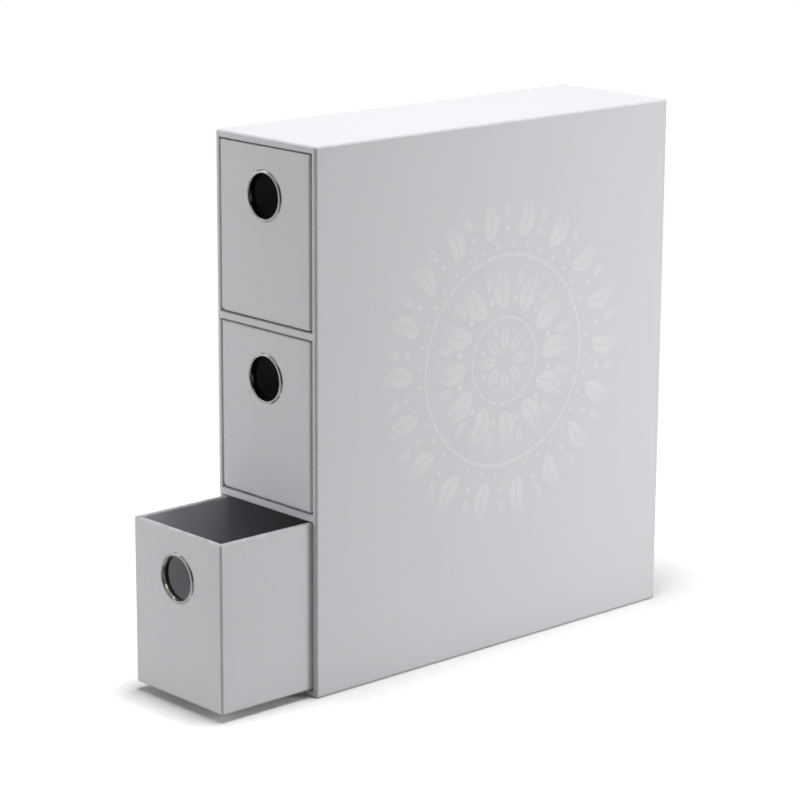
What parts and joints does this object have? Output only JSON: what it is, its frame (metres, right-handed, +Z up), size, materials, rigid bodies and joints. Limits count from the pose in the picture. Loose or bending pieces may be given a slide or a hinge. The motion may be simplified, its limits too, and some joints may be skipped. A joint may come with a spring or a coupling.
{
  "type": "trading card drawer box",
  "caption": "Tall, narrow paper-covered case with stacked card drawers that slide out of the front by metal finger rings.",
  "frame": {"origin": "centre of the case's base, on the surface that it stands on", "axes": "+Z up, the drawers open towards -Y, +X to the right as seen from the front and across the box's width"},
  "size_m": [0.088, 0.353, 0.3216],
  "materials": {
    "wrap_paper": "satin laminated",
    "lining_paper": "matt",
    "bay_paper": "matt",
    "base_paper": "matt",
    "greyboard": "matt fibrous",
    "plated_steel": "polished"
  },
  "bodies": {
    "case": {"left_side_board": "greyboard", "right_side_board": "greyboard", "top_board": "greyboard", "bottom_board": "greyboard", "back_board": "greyboard", "lower_shelf_board": "greyboard", "upper_shelf_board": "greyboard", "lower_shelf_edging": "wrap_paper", "upper_shelf_edging": "wrap_paper", "top_bay_lining": "bay_paper", "middle_bay_lining": "bay_paper", "bottom_bay_lining": "bay_paper", "case_back_sheet": "wrap_paper", "case_base_sheet": "base_paper", "case_wrap": "wrap_paper"},
    "bottom_drawer": {"bottom_drawer_front_board": "greyboard", "bottom_drawer_rear_board": "greyboard", "bottom_drawer_left_board": "greyboard", "bottom_drawer_right_board": "greyboard", "bottom_drawer_base_board": "greyboard", "bottom_drawer_lining": "lining_paper", "bottom_drawer_base_sheet": "base_paper", "bottom_drawer_wrap": "wrap_paper", "bottom_drawer_finger_ring": "plated_steel", "bottom_drawer_ring_washer": "plated_steel"},
    "middle_drawer": {"middle_drawer_front_board": "greyboard", "middle_drawer_rear_board": "greyboard", "middle_drawer_left_board": "greyboard", "middle_drawer_right_board": "greyboard", "middle_drawer_base_board": "greyboard", "middle_drawer_lining": "lining_paper", "middle_drawer_base_sheet": "base_paper", "middle_drawer_wrap": "wrap_paper", "middle_drawer_finger_ring": "plated_steel", "middle_drawer_ring_washer": "plated_steel"},
    "top_drawer": {"top_drawer_front_board": "greyboard", "top_drawer_rear_board": "greyboard", "top_drawer_left_board": "greyboard", "top_drawer_right_board": "greyboard", "top_drawer_base_board": "greyboard", "top_drawer_lining": "lining_paper", "top_drawer_base_sheet": "base_paper", "top_drawer_wrap": "wrap_paper", "top_drawer_finger_ring": "plated_steel", "top_drawer_ring_washer": "plated_steel"}
  },
  "joints": [
    {"name": "bottom_drawer_slide", "type": "slide", "parent": "case", "child": "bottom_drawer", "axis": [0, -1, 0], "range_m": [-0.0663, 0.2027]},
    {"name": "middle_drawer_slide", "type": "slide", "parent": "case", "child": "middle_drawer", "axis": [0, -1, 0], "range_m": [-0.00025, 0.26875]},
    {"name": "top_drawer_slide", "type": "slide", "parent": "case", "child": "top_drawer", "axis": [0, -1, 0], "range_m": [-0.0004, 0.2686]}
  ]
}
